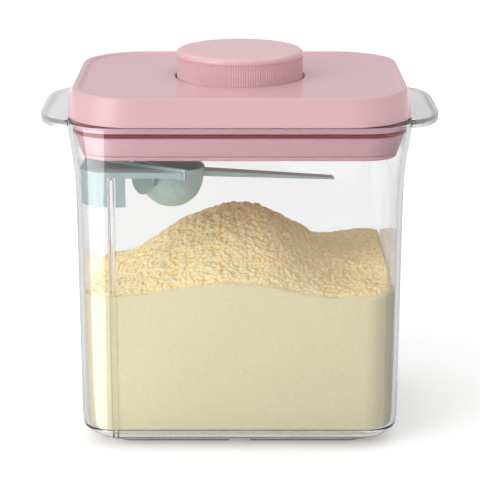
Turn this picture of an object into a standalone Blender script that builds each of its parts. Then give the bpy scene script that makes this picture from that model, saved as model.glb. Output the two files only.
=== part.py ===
"""Push-button milk powder box, rebuilt as an assembly of separate pieces.

A clear rounded-rectangular body with two side grips holds the powder. A lid with a large round
button drops into its mouth. Pressing the button drives a four-armed plunger down between four
slides, which push the seal outwards against the wall; a return spring lifts the button again.
A leveller sits in the front left corner of the mouth, and the scoop hangs on it.

Frame: metres, +Z up, +X to the right and -Y to the front. The origin is on the standing surface,
under the middle of the body.
"""

import math

import bmesh
import bpy
from mathutils import Euler, Matrix, Vector

MM = 0.001

# ---- driving dimensions, in millimetres -----------------------------------------------------
GAP = 0.3                 # clearance between pieces that touch
CORNER_STEPS = 7          # facets round each corner of a rounded rectangle
DEPTH_LESS = 17.0         # how much less the half depth is than the half width, everywhere
WALL = 2.1                # body wall

RIM_Z = 167.0             # top of the body's rim
RIM_HALF = 84.1           # half width of the body at its rim
FOOT_HALF = 66.7          # half width of the foot ring
FOOT_HEIGHT = 1.6
FOOT_WIDTH = 2.7
FOOT_NOTCH = 10.6         # width of the drain notches in the foot ring
FLOOR_Z = 4.0             # inside floor

EAR_REACH = 100.0         # outermost X of the side grips
EAR_HALF = 42.5           # half length of a grip along Y
EAR_CORNER = (16.5, 27.0)  # plan half axes of a grip's two oval outer corners
EAR_TOP = 166.1
EAR_LIP = 4.4             # height of the grip's outer lip
EAR_LIP_WIDTH = 2.8
EAR_HOLLOW_CORNER = (12.1, 24.2)  # the same for the recess under a grip
EAR_PLATE = 2.8           # thickness of the grip's plate

RIB_X = -62.4             # rib on the inside of the front wall, which the leveller drops over
RIB_WIDTH = 3.2
RIB_TOP = 141.1
RIB_BOTTOM = 10.5
RIB_FRONT = -62.45
RIB_BACK = -58.6

LID_EDGE_Z = 167.3        # lower edge of the lid's skirt
LID_TOP_Z = 180.3         # recessed top face of the lid
LID_CREST_Z = 181.2       # raised rim round that face
LID_SKIN_Z = 178.3        # underside of the lid's top
HOLE_RADIUS = 32.8        # hole for the button

BUTTON_RADIUS = 32.2
BUTTON_TOP = 193.9
BUTTON_TRAVEL = 12.0
FLANGE_RADIUS = 34.6
FLANGE_Z = (176.4, 177.9)

DECK_Z = (159.7, 161.4)   # the lid base's inner floor, which carries the slides
DECK_HOLE = 26.2
SEAL_Z = (161.9, 163.4)
SEAL_HALF = 81.55
SLIDE_Z = (162.0, 163.2)
SLIDE_TIP = 77.9          # outer end of the side slides at rest
HEEL_TOP = 166.5
CAM_SLOPE = 0.125         # the slides move 1.5 mm while the button moves 12 mm
PLUNGER_Z = (164.2, 177.7)
PLUNGER_REACH = 23.0      # half reach of the plunger's arms at their lower end
ARM_WIDTH = 12.0

PLUG_BOTTOM_Z = 151.9
COVER_Z = (149.6, 151.6)
LID_SCREWS = ((58.0, 40.0), (-58.0, 40.0), (-58.0, -40.0), (58.0, -40.0))
PLUNGER_SCREWS = ((18.0, 0.0), (-18.0, 0.0))

SPRING_RADIUS = 7.0
SPRING_WIRE = 0.5
SPRING_Z = (152.3, 174.8)
SPRING_TURNS = 5.5

LATCH_PIVOT = (16.0, 15.2, 155.2)
LATCH_PIN_RADIUS = 0.9
LATCH_TOP = 167.0
LUG_THICK = 1.8           # each of the two lugs that carry the latch's pin

SCREW_HEAD_RADIUS = 2.9
SCREW_SHANK_RADIUS = 1.1
POST_RADIUS = 3.4         # screw posts under the lid's top
POST_PILOT = 1.3

BLADE_START = Vector((-59.0, -41.2))      # a point on the leveller's diagonal edge
BLADE_ALONG = Vector((0.859, -0.512)).normalized()
BLADE_BACK = Vector((-BLADE_ALONG.y, BLADE_ALONG.x))
LEVELLER_Z = (141.4, 144.1)
LEVELLER_HALF = 78.4
LEVELLER_CORNER = 15.6
LEVELLER_WALL = 2.4
BLADE_TOP = 145.6
BLADE_ENDS = (-20.9, 38.2)                # both ends of the raised edge, along it
LEDGE_Z = (140.4, 141.9)
LEG_BOTTOM = 126.7
LEG_END_X = -55.6
SKIRT_BACK_Y = -38.0                      # where the skirt ends on the left wall

SCOOP_CENTRE = (-33.7, -26.0, 141.0)      # middle of the bowl's rim
SCOOP_TILT = math.radians(6.0)            # the handle side hangs lower
BOWL_RADIUS = 16.1
BOWL_WALL = 1.2
BOWL_STRAIGHT = 6.5                       # upright part of the bowl above its round bottom
HANDLE_LENGTH = 69.0
HANDLE_YAW = math.radians(9.0)
TAB_DIRECTION = Vector((-0.70, -0.714)).normalized()
TAB_DISTANCE = 19.5
TAB_WIDTH = 14.4
TAB_THICK = 1.8
TAB_TOP = 3.2
SLACK = 0.5                               # room round pieces that are lifted in and out

PINK = (0.72, 0.45, 0.48)
DARK_RED = (0.26, 0.006, 0.011)
MINT = (0.50, 0.66, 0.62)
CLEAR = (0.93, 0.94, 0.95)
CREAM = (0.80, 0.70, 0.44)
STEEL = (0.60, 0.60, 0.62)
WHITE = (0.85, 0.85, 0.85)

ROUND_STEPS = 48
SMALL_STEPS = 16


# ---- scene, collections and materials -------------------------------------------------------
for old in list(bpy.data.objects):
    bpy.data.objects.remove(old)

PARTS = bpy.data.collections.new("formula_dispenser")
TOOLS = bpy.data.collections.new("cutters")
for collection in (PARTS, TOOLS):
    bpy.context.scene.collection.children.link(collection)


def material(name, colour, roughness, metallic=0.0, transmission=0.0):
    """A Principled material with one colour."""
    made = bpy.data.materials.new(name)
    made.use_nodes = True
    shader = made.node_tree.nodes["Principled BSDF"]
    shader.inputs["Base Color"].default_value = (*colour, 1.0)
    shader.inputs["Roughness"].default_value = roughness
    shader.inputs["Metallic"].default_value = metallic
    shader.inputs["Transmission Weight"].default_value = transmission
    return made


PINK_PLASTIC = material("pink_plastic", PINK, 0.35)
RED_SILICONE = material("red_silicone", DARK_RED, 0.3)
MINT_PLASTIC = material("mint_plastic", MINT, 0.4)
CLEAR_PLASTIC = material("clear_plastic", CLEAR, 0.05, transmission=0.95)
POWDER = material("powder", CREAM, 0.9)
STEEL_WIRE = material("steel_wire", STEEL, 0.3, metallic=1.0)
WHITE_PLASTIC = material("white_plastic", WHITE, 0.45)


def make_object(name, mesh, finish=None):
    """Link a mesh as a part, or as a hidden tool when it has no finish."""
    obj = bpy.data.objects.new(name, mesh)
    if finish is None:
        TOOLS.objects.link(obj)
        obj.hide_render = True
        obj.display_type = "WIRE"
    else:
        PARTS.objects.link(obj)
        mesh.materials.append(finish)
    return obj


def from_bmesh(name, bm, finish=None):
    """Turn a bmesh in millimetres into an object in metres."""
    bmesh.ops.scale(bm, vec=(MM, MM, MM), verts=bm.verts)
    bmesh.ops.recalc_face_normals(bm, faces=bm.faces)
    mesh = bpy.data.meshes.new(name)
    bm.to_mesh(mesh)
    bm.free()
    mesh.shade_smooth()
    mesh.set_sharp_from_angle(angle=math.radians(30.0))
    return make_object(name, mesh, finish)


def boolean(obj, tool, operation):
    """Cut or join a hidden tool, and leave the modifier on the object."""
    step = obj.modifiers.new(tool.name, "BOOLEAN")
    step.operation = operation
    step.solver = "EXACT"
    step.object = tool


def cut(obj, *tools):
    for tool in tools:
        boolean(obj, tool, "DIFFERENCE")


def join(obj, *tools):
    for tool in tools:
        boolean(obj, tool, "UNION")


# ---- outlines and solids --------------------------------------------------------------------
def rounded_ring(half_x, half_y, radius):
    """A rounded rectangle, anticlockwise, with the same number of points whatever its size."""
    points = []
    for corner in range(4):
        sign_x = 1.0 if corner in (0, 3) else -1.0
        sign_y = 1.0 if corner in (0, 1) else -1.0
        for step in range(CORNER_STEPS + 1):
            angle = math.radians(90.0) * (corner + step / CORNER_STEPS)
            points.append((sign_x * (half_x - radius) + radius * math.cos(angle),
                           sign_y * (half_y - radius) + radius * math.sin(angle)))
    return points


def body_ring(half, radius):
    """The rounded rectangle of this box at one half width: its half depth follows."""
    return rounded_ring(half, half - DEPTH_LESS, radius)


def circle_ring(radius):
    """A circle with as many points as a rounded rectangle."""
    count = 4 * (CORNER_STEPS + 1)
    angles = [math.tau * (step + 0.5) / count for step in range(count)]
    return [(radius * math.cos(angle), radius * math.sin(angle)) for angle in angles]


def loft(name, rings, finish=None, closed=False):
    """Walls between rings of equal count, given as (outline, z).

    A closed loft joins its last ring to its first, as a frame does; an open one caps both ends.
    """
    bm = bmesh.new()
    loops = [[bm.verts.new((x, y, z)) for x, y in outline] for outline, z in rings]
    count = len(loops[0])
    pairs = list(zip(loops, loops[1:]))
    if closed:
        pairs.append((loops[-1], loops[0]))
    else:
        bm.faces.new(loops[0])
        bm.faces.new(loops[-1])
    for lower, upper in pairs:
        for index in range(count):
            after = (index + 1) % count
            bm.faces.new((lower[index], lower[after], upper[after], upper[index]))
    return from_bmesh(name, bm, finish)


def box(name, low, high, finish=None, turn=None):
    """A box between two corners, turned afterwards by a matrix if one is given."""
    bm = bmesh.new()
    bmesh.ops.create_cube(bm, size=1.0)
    size = Vector(high) - Vector(low)
    middle = (Vector(high) + Vector(low)) / 2.0
    bmesh.ops.scale(bm, vec=size, verts=bm.verts)
    bmesh.ops.translate(bm, vec=middle, verts=bm.verts)
    if turn is not None:
        bmesh.ops.transform(bm, matrix=turn, verts=bm.verts)
    return from_bmesh(name, bm, finish)


def rod(name, centre, radius, low, high, finish=None, steps=SMALL_STEPS, axis="Z"):
    """A cylinder along an axis, from low to high on that axis."""
    bm = bmesh.new()
    bmesh.ops.create_cone(bm, cap_ends=True, segments=steps, radius1=radius, radius2=radius,
                          depth=high - low)
    if axis == "Y":
        bmesh.ops.rotate(bm, matrix=Matrix.Rotation(math.radians(90.0), 3, "X"), verts=bm.verts)
        place = (centre[0], (low + high) / 2.0, centre[1])
    else:
        place = (centre[0], centre[1], (low + high) / 2.0)
    bmesh.ops.translate(bm, vec=place, verts=bm.verts)
    return from_bmesh(name, bm, finish)


def plate(name, outline, low, high, finish=None):
    """A flat outline, anticlockwise, raised from low to high."""
    bm = bmesh.new()
    bottom = bm.faces.new([bm.verts.new((x, y, low)) for x, y in outline])
    raised = bmesh.ops.extrude_face_region(bm, geom=[bottom])
    moved = [item for item in raised["geom"] if isinstance(item, bmesh.types.BMVert)]
    bmesh.ops.translate(bm, vec=(0.0, 0.0, high - low), verts=moved)
    return from_bmesh(name, bm, finish)


def turned(name, profile, finish=None, steps=ROUND_STEPS):
    """A profile of (radius, z), top to bottom on its outer side, turned round Z with a Screw."""
    mesh = bpy.data.meshes.new(name)
    points = [(radius * MM, 0.0, z * MM) for radius, z in profile]
    mesh.from_pydata(points, [(i, i + 1) for i in range(len(points) - 1)], [])
    obj = make_object(name, mesh, finish)
    screw = obj.modifiers.new("turn", "SCREW")
    screw.steps = steps
    screw.render_steps = steps
    screw.use_merge_vertices = True
    screw.merge_threshold = 0.00001
    screw.use_smooth_shade = True
    return obj


def arc(centre, radius, start, end, steps):
    """Points on a circle from one angle to another, in degrees."""
    angles = [math.radians(start + (end - start) * i / steps) for i in range(steps + 1)]
    return [(centre[0] + radius * math.cos(a), centre[1] + radius * math.sin(a)) for a in angles]


def place(obj, location, turn=(0.0, 0.0, 0.0)):
    """Set an object down at a point in millimetres."""
    obj.location = Vector(location) * MM
    obj.rotation_euler = Euler(turn)
    return obj


def hang(child, parent):
    """Parent without moving the child."""
    child.parent = parent
    child.matrix_parent_inverse = Matrix.Translation(-parent.location)


def pivot(name, location=(0.0, 0.0, 0.0)):
    """An empty that carries the pieces of one moving body."""
    empty = bpy.data.objects.new(name, None)
    empty.location = Vector(location) * MM
    PARTS.objects.link(empty)
    return empty


# ---- body -----------------------------------------------------------------------------------
# (half width, z, corner radius) up the outside, then down the inside
BODY_OUTSIDE = (
    (FOOT_HALF - FOOT_WIDTH - 0.4, FOOT_HEIGHT, 9.9),
    (FOOT_HALF - FOOT_WIDTH, 0.0, 10.3),
    (FOOT_HALF, 0.0, 13.0),
    (FOOT_HALF + 0.4, FOOT_HEIGHT, 13.4),
    (71.6, 2.4, 15.4),
    (75.8, 4.6, 16.6),
    (78.6, 8.2, 16.8),
    (79.9, 13.2, 16.6),
    (80.15, 40.0, 16.6),
    (80.35, 85.0, 17.0),
    (80.6, 128.0, 17.5),
    (80.9, 136.0, 18.0),
    (81.3, 142.0, 18.8),
    (82.0, 148.0, 19.8),
    (82.8, 153.0, 20.8),
    (83.5, 158.0, 21.8),
    (84.0, 162.0, 22.6),
    (RIM_HALF, 164.0, 23.0),
    (RIM_HALF, RIM_Z, 23.0),
)
BODY_INSIDE = (
    (RIM_HALF - WALL, RIM_Z, 21.0),
    (RIM_HALF - WALL, 164.0, 21.0),
    (81.9, 162.0, 20.6),
    (81.4, 158.0, 19.8),
    (80.7, 153.0, 18.8),
    (79.9, 148.0, 17.8),
    (79.2, 142.0, 16.8),
    (78.8, 136.0, 16.0),
    (78.5, 128.0, 15.4),
    (78.2, 85.0, 14.9),
    (78.0, 40.0, 14.6),
    (77.7, 14.5, 14.5),
    (76.6, 9.6, 14.6),
    (74.4, 6.6, 14.4),
    (71.0, 4.8, 13.6),
    (67.0, FLOOR_Z, 12.4),
)


def ear_outline(reach, half, corner, start):
    """Plan of a side grip: straight at the body, with two oval outer corners."""
    unit = [(x * corner[0], y * corner[1]) for x, y in arc((0.0, 0.0), 1.0, -90.0, 0.0, 10)]
    near = [(reach - corner[0] + x, -half + corner[1] + y) for x, y in unit]
    far = [(x, -y) for x, y in reversed(near)]
    return [(start, -half)] + near + far + [(start, half)]


def mirrored(outline):
    """The same outline on the other side, still anticlockwise."""
    return [(-x, y) for x, y in reversed(outline)]


def make_body():
    """Clear moulded body: loft, two lipped grips, leveller rib and a notched foot ring."""
    rings = [(body_ring(half, radius), z) for half, z, radius in BODY_OUTSIDE + BODY_INSIDE]
    body = loft("container_body", rings, CLEAR_PLASTIC)
    root = RIM_HALF - 1.2
    grip = ear_outline(EAR_REACH, EAR_HALF, EAR_CORNER, root)
    hollow = ear_outline(EAR_REACH - EAR_LIP_WIDTH, EAR_HALF - EAR_LIP_WIDTH,
                         EAR_HOLLOW_CORNER, RIM_HALF + 0.6)
    for side, shape in (("right", lambda outline: outline), ("left", mirrored)):
        ear = plate(f"ear_{side}", shape(grip), EAR_TOP - EAR_LIP, EAR_TOP)
        cut(ear, plate(f"ear_hollow_{side}", shape(hollow), EAR_TOP - EAR_LIP - 1.0,
                       EAR_TOP - EAR_PLATE))
        join(body, ear)
    join(body, box("rib", (RIB_X - RIB_WIDTH / 2, RIB_FRONT, RIB_BOTTOM),
                   (RIB_X + RIB_WIDTH / 2, RIB_BACK, RIB_TOP)))
    cut(body, box("foot_notch", (-FOOT_NOTCH / 2, -90.0, -1.0), (FOOT_NOTCH / 2, 90.0, 1.0)))
    return body


def make_powder():
    """The milk powder: the filled corner-to-corner part and the heap above it."""
    rings = (
        (body_ring(66.6, 12.2), 4.4), (body_ring(70.4, 13.3), 5.1), (body_ring(73.8, 14.2), 6.9),
        (body_ring(76.1, 14.4), 9.9), (body_ring(77.2, 14.2), 14.6),
        (body_ring(77.7, 14.5), 80.0), (rounded_ring(55.0, 44.0, 20.0), 89.0),
        (rounded_ring(34.0, 30.0, 18.0), 101.0), (rounded_ring(12.0, 11.0, 7.0), 112.5),
    )
    powder = loft("milk_powder", rings, POWDER)
    cut(powder, box("rib_clearance", (RIB_X - RIB_WIDTH / 2 - SLACK, -70.0, -1.0),
                    (RIB_X + RIB_WIDTH / 2 + SLACK, RIB_BACK + SLACK, 120.0)))
    return powder


# ---- lid ------------------------------------------------------------------------------------
def make_lid_cover():
    """Pink top: a shallow dish with a raised rim, a skirt, a button hole and four screw posts."""
    rings = (
        (circle_ring(HOLE_RADIUS), LID_TOP_Z),
        (rounded_ring(77.6, 59.4, 26.8), LID_TOP_Z),
        (rounded_ring(79.4, 61.2, 28.6), LID_TOP_Z + 0.5),
        (rounded_ring(80.8, 62.6, 30.0), LID_CREST_Z),
        (rounded_ring(81.8, 63.7, 30.8), LID_CREST_Z - 0.2),
        (rounded_ring(82.7, 64.7, 31.4), LID_CREST_Z - 1.2),
        (rounded_ring(83.1, 65.2, 31.6), LID_CREST_Z - 2.6),
        (rounded_ring(84.5, 67.0, 31.9), LID_EDGE_Z + 1.2),
        (rounded_ring(84.7, 67.3, 32.0), LID_EDGE_Z),
        (rounded_ring(82.7, 65.3, 30.0), LID_EDGE_Z),
        (rounded_ring(81.3, 63.6, 28.6), LID_SKIN_Z - 1.2),
        (rounded_ring(80.0, 62.2, 27.2), LID_SKIN_Z),
        (circle_ring(HOLE_RADIUS), LID_SKIN_Z),
    )
    cover = loft("lid_cover", rings, PINK_PLASTIC, closed=True)
    for number, (x, y) in enumerate(LID_SCREWS, 1):
        post = rod(f"post_{number}", (x, y), POST_RADIUS, DECK_Z[1] + GAP, LID_SKIN_Z + 0.8)
        cut(post, rod(f"post_pilot_{number}", (x, y), POST_PILOT, DECK_Z[1] - 1.0, 175.0))
        join(cover, post)
    return cover


def make_lid_base():
    """Pink plug: a tapered wall with the seal's groove, and a deck with slots for the slides."""
    rings = (
        (rounded_ring(81.4, 64.1, 29.0), 169.0),
        (rounded_ring(81.4, 64.1, 29.0), 166.9),
        (rounded_ring(81.4, 64.1, 20.0), 166.5),
        (rounded_ring(81.4, 64.1, 20.0), SEAL_Z[1] + GAP),
        (rounded_ring(79.4, 62.1, 18.0), SEAL_Z[1] + GAP),
        (rounded_ring(79.4, 62.1, 18.0), SEAL_Z[0] - GAP),
        (rounded_ring(80.8, 63.5, 19.4), SEAL_Z[0] - GAP),
        (rounded_ring(77.6, 60.0, 16.5), PLUG_BOTTOM_Z),
        (rounded_ring(75.4, 57.8, 14.3), PLUG_BOTTOM_Z),
        (rounded_ring(76.6, 59.0, 15.5), DECK_Z[0]),
        (circle_ring(DECK_HOLE), DECK_Z[0]),
        (circle_ring(DECK_HOLE), DECK_Z[1]),
        (rounded_ring(77.5, 60.2, 16.1), DECK_Z[1]),
        (rounded_ring(77.5, 60.2, 16.1), 164.0),
        (rounded_ring(79.4, 62.1, 20.0), 165.2),
        (rounded_ring(79.4, 62.1, 27.0), 169.0),
    )
    base = loft("lid_base", rings, PINK_PLASTIC, closed=True)
    window_low = SLIDE_Z[0] - 0.25
    window_high = SLIDE_Z[1] + 0.25
    cut(base, box("side_windows", (-90.0, -27.0, window_low), (90.0, 27.0, window_high)),
        box("front_windows", (-43.0, -80.0, window_low), (43.0, 80.0, window_high)))
    for number, (x, y) in enumerate(LID_SCREWS, 1):
        cut(base, rod(f"deck_hole_{number}", (x, y), 1.7, DECK_Z[0] - 1.0, DECK_Z[1] + 1.0))
    return base


def make_bottom_cover():
    """Plate that closes the plug, with a locating lip, the spring's post and the latch's lugs."""
    rings = (
        (rounded_ring(76.9, 59.3, 15.8), COVER_Z[0]),
        (rounded_ring(77.4, 59.8, 16.3), COVER_Z[0] + 0.5),
        (rounded_ring(77.4, 59.8, 16.3), COVER_Z[1]),
        (rounded_ring(75.0, 57.4, 13.9), COVER_Z[1]),
        (rounded_ring(75.0, 57.4, 13.9), COVER_Z[1] + 2.5),
        (rounded_ring(73.4, 55.8, 12.3), COVER_Z[1] + 2.5),
        (rounded_ring(73.4, 55.8, 12.3), COVER_Z[1]),
    )
    cover = loft("lid_bottom_cover", rings, PINK_PLASTIC)
    join(cover, rod("spring_post", (0.0, 0.0), 5.6, COVER_Z[1] - 0.6, COVER_Z[1] + 5.0))
    x, y, z = LATCH_PIVOT
    for side, low in (("near", y - 3.9), ("far", y + 2.1)):
        lug = box(f"lug_{side}", (x - 2.2, low, COVER_Z[1] - 0.6),
                  (x + 2.2, low + LUG_THICK, z + 2.2))
        cut(lug, rod(f"lug_hole_{side}", (x, z), LATCH_PIN_RADIUS + 0.1, low - 1.0, low + 3.0,
                     axis="Y"))
        join(cover, lug)
    return cover


def make_seal():
    """Silicone ring in the plug's groove."""
    inner = SEAL_HALF - 1.85
    rings = (
        (body_ring(SEAL_HALF - 0.3, 19.9), SEAL_Z[1]),
        (body_ring(SEAL_HALF, 20.2), (SEAL_Z[0] + SEAL_Z[1]) / 2),
        (body_ring(SEAL_HALF - 0.3, 19.9), SEAL_Z[0]), (body_ring(inner, 18.3), SEAL_Z[0]),
        (body_ring(inner, 18.3), SEAL_Z[1]),
    )
    return loft("seal_gasket", rings, RED_SILICONE, closed=True)


def screw(name, centre, head_z, head_height, tip_z):
    """A pan-head screw seen from below: head down, shank up to its tip."""
    x, y = centre
    profile = ((0.0, tip_z - head_z), (SCREW_SHANK_RADIUS, tip_z - head_z - 0.8),
               (SCREW_SHANK_RADIUS, head_height), (SCREW_HEAD_RADIUS, head_height),
               (SCREW_HEAD_RADIUS, 0.5), (SCREW_HEAD_RADIUS - 0.6, 0.0), (0.0, 0.0))
    return place(turned(name, profile, STEEL_WIRE, SMALL_STEPS), (x, y, head_z))


# ---- button and its mechanism ---------------------------------------------------------------
def make_button_cap():
    """The round button: a cup, open below, whose flange keeps it under the lid."""
    low, high = FLANGE_Z
    inner = BUTTON_RADIUS - 2.2
    profile = (
        (0.0, BUTTON_TOP), (BUTTON_RADIUS - 2.0, BUTTON_TOP),
        (BUTTON_RADIUS - 0.8, BUTTON_TOP - 0.4), (BUTTON_RADIUS - 0.1, BUTTON_TOP - 1.3),
        (BUTTON_RADIUS, BUTTON_TOP - 2.4), (BUTTON_RADIUS, high), (FLANGE_RADIUS, high),
        (FLANGE_RADIUS, low), (inner, low), (inner, BUTTON_TOP - 3.4),
        (inner - 1.2, BUTTON_TOP - 2.2), (0.0, BUTTON_TOP - 2.2),
    )
    cap = turned("button_cap", profile, PINK_PLASTIC)
    for number, centre in enumerate(PLUNGER_SCREWS, 1):
        post = rod(f"cap_post_{number}", centre, POST_RADIUS, PLUNGER_Z[1] + GAP,
                   BUTTON_TOP - 1.8)
        cut(post, rod(f"cap_pilot_{number}", centre, POST_PILOT, PLUNGER_Z[1] - 1.0, 188.5))
        join(cap, post)
    return cap


def tapered_arm(name, along_x, finish=None):
    """One bar of the plunger's cross: a cube drawn in towards its lower end."""
    low, high = PLUNGER_Z
    bm = bmesh.new()
    bmesh.ops.create_cube(bm, size=1.0)
    for vert in bm.verts:
        z = high if vert.co.z > 0.0 else low
        reach = PLUNGER_REACH + (z - low) * CAM_SLOPE
        length = math.copysign(reach, vert.co.x if along_x else vert.co.y)
        width = math.copysign(ARM_WIDTH / 2, vert.co.y if along_x else vert.co.x)
        vert.co = (length, width, z) if along_x else (width, length, z)
    return from_bmesh(name, bm, finish)


def make_plunger():
    """The four-armed cam: its tapered arms spread the slides as it goes down."""
    low, high = PLUNGER_Z
    plunger = tapered_arm("button_plunger", True, WHITE_PLASTIC)
    join(plunger, tapered_arm("cross_arm", False), rod("hub", (0.0, 0.0), 11.6, low, high,
                                                       steps=ROUND_STEPS // 2))
    cut(plunger, rod("spring_seat", (0.0, 0.0), 8.2, low - 1.0, 175.6, steps=ROUND_STEPS // 2))
    for number, centre in enumerate(PLUNGER_SCREWS, 1):
        cut(plunger, rod(f"screw_sink_{number}", centre, 3.3, low - 1.0, 174.2),
            rod(f"screw_way_{number}", centre, 1.6, low, high + 1.0))
    return plunger


def make_slide(name, turn, tip, half_bar):
    """A slide: a bar behind the seal, a stem, and a heel that the plunger's arm pushes."""
    low, high = SLIDE_Z
    heel = PLUNGER_REACH + (HEEL_TOP - PLUNGER_Z[0]) * CAM_SLOPE + GAP
    spin = Matrix.Rotation(turn, 4, "Z")
    slide = box(name, (tip - 8.0, -half_bar, low), (tip, half_bar, high), WHITE_PLASTIC, spin)
    join(slide, box(f"{name}_stem", (heel + 1.0, -ARM_WIDTH / 2, low),
                    (tip - 4.0, ARM_WIDTH / 2, high), turn=spin),
         box(f"{name}_heel", (heel, -ARM_WIDTH / 2, low), (heel + 3.0, ARM_WIDTH / 2, HEEL_TOP),
             turn=spin))
    return slide


def make_spring():
    """Return spring: a round wire wound round Z, as a curve with a bevel."""
    low, high = SPRING_Z
    points_a_turn = 12
    count = int(SPRING_TURNS * points_a_turn) + 1
    curve = bpy.data.curves.new("main_spring", "CURVE")
    curve.dimensions = "3D"
    curve.bevel_depth = SPRING_WIRE * MM
    curve.bevel_resolution = 2
    curve.use_fill_caps = True
    spline = curve.splines.new("POLY")
    spline.points.add(count - 1)
    for index, point in enumerate(spline.points):
        angle = math.tau * index / points_a_turn
        z = low + (high - low) * index / (count - 1)
        point.co = (SPRING_RADIUS * MM * math.cos(angle), SPRING_RADIUS * MM * math.sin(angle),
                    z * MM, 1.0)
    curve.materials.append(STEEL_WIRE)
    spring = bpy.data.objects.new("main_spring", curve)
    PARTS.objects.link(spring)
    return spring


def make_latch():
    """Arm that holds the button down, and the steel pin that it swings on."""
    x, y, z = LATCH_PIVOT
    arm = box("latch_arm", (x - 2.0, y - 1.5, z - 2.0), (x + 2.0, y + 1.5, LATCH_TOP),
              WHITE_PLASTIC)
    join(arm, box("latch_nose", (x - 4.0, y - 1.5, LATCH_TOP - 2.2), (x, y + 1.5, LATCH_TOP)))
    cut(arm, rod("latch_bore", (x, z), LATCH_PIN_RADIUS + 0.1, y - 3.0, y + 3.0, axis="Y"))
    pin = rod("latch_pin", (x, z), LATCH_PIN_RADIUS, y - 4.2, y + 4.2, STEEL_WIRE, axis="Y")
    return arm, pin


# ---- leveller and scoop ---------------------------------------------------------------------
def on_blade(along, back):
    """A point at a distance along the leveller's diagonal edge and behind it."""
    point = BLADE_START + BLADE_ALONG * along + BLADE_BACK * back
    return point.x, point.y


def skirt_outline(half, corner):
    """The skirt's plan: it follows the body's front left corner from the front to the side."""
    depth = half - DEPTH_LESS
    middle = (-half + corner, -depth + corner)
    outer = arc(middle, corner, 180.0, 270.0, 8)
    inner = arc(middle, corner - LEVELLER_WALL, 270.0, 180.0, 8)
    front = [(LEG_END_X, -depth), (LEG_END_X, -depth + LEVELLER_WALL)]
    return ([(-half, SKIRT_BACK_Y)] + outer + front + inner
            + [(-half + LEVELLER_WALL, SKIRT_BACK_Y)])


def make_leveller():
    """Corner piece: a top plate with a raised diagonal edge, a skirt, and a ledge with a slot."""
    depth = LEVELLER_HALF - DEPTH_LESS
    corner = LEVELLER_CORNER
    slope = BLADE_ALONG.y / BLADE_ALONG.x
    left_y = BLADE_START.y + (-LEVELLER_HALF - BLADE_START.x) * slope
    tip_x = BLADE_START.x + (-depth + LEVELLER_WALL - BLADE_START.y) / slope
    outline = [(-LEVELLER_HALF, left_y)]
    outline += arc((-LEVELLER_HALF + corner, -depth + corner), corner, 180.0, 270.0, 8)
    outline += arc((tip_x + 1.0, -depth + 1.2), 1.2, -90.0, 60.0, 6)
    low, high = LEVELLER_Z
    leveller = plate("leveller", outline, low, high, MINT_PLASTIC)

    half_thick = 0.8
    blade = [on_blade(BLADE_ENDS[0], -half_thick), on_blade(BLADE_ENDS[1], -half_thick),
             on_blade(BLADE_ENDS[1], half_thick), on_blade(BLADE_ENDS[0], half_thick)]
    skirt = skirt_outline(LEVELLER_HALF - 0.5, corner - 0.5)
    ledge = [on_blade(-5.0, -half_thick), on_blade(23.0, -half_thick), on_blade(27.0, 12.0),
             on_blade(-2.0, 14.0)]
    join(leveller, plate("blade", blade, LEDGE_Z[0], BLADE_TOP),
         plate("skirt", skirt, LEG_BOTTOM, low + 1.0), plate("ledge", ledge, *LEDGE_Z))

    x, y, _ = SCOOP_CENTRE
    turn = Matrix.Rotation(math.atan2(TAB_DIRECTION.y, TAB_DIRECTION.x), 4, "Z")
    move = Matrix.Translation((x, y, 0.0)) @ turn
    half_slot = (TAB_THICK / 2 + SLACK, TAB_WIDTH / 2 + SLACK)
    slot = box("tab_slot", (TAB_DISTANCE - half_slot[0], -half_slot[1], 130.0),
               (TAB_DISTANCE + half_slot[0], half_slot[1], BLADE_TOP), turn=move)
    cut(leveller, rod("bowl_clearance", (x, y), BOWL_RADIUS + 0.6, 130.0, BLADE_TOP + 1.0,
                      steps=ROUND_STEPS), slot,
        box("rib_slot", (RIB_X - RIB_WIDTH / 2 - SLACK, -70.0, LEG_BOTTOM - 1.0),
            (RIB_X + RIB_WIDTH / 2 + SLACK, RIB_BACK + 1.2, LEVELLER_Z[0])))
    return leveller


def bowl_profile(radius, straight, top, steps):
    """Outer side of a round-bottomed cup, top to bottom."""
    profile = [(0.0, top), (radius, top), (radius, -straight)]
    for step in range(1, steps + 1):
        angle = math.radians(90.0) * step / steps
        profile.append((radius * math.cos(angle), -straight - radius * math.sin(angle)))
    profile[-1] = (0.0, profile[-1][1])
    return profile


def make_handle():
    """Long flat handle, a cube drawn out so that it thins and narrows towards its end."""
    bm = bmesh.new()
    bmesh.ops.create_cube(bm, size=1.0)
    root = BOWL_RADIUS - 2.0
    for vert in bm.verts:
        far = vert.co.x > 0.0
        half_width = 2.6 if far else 4.2
        top = -1.9 if far else -2.3
        thick = 1.0 if far else 2.8
        vert.co = (root + HANDLE_LENGTH if far else root,
                   math.copysign(half_width, vert.co.y),
                   top if vert.co.z > 0.0 else top - thick)
    bmesh.ops.rotate(bm, matrix=Matrix.Rotation(HANDLE_YAW, 3, "Z"), verts=bm.verts)
    return from_bmesh("handle", bm)


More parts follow.
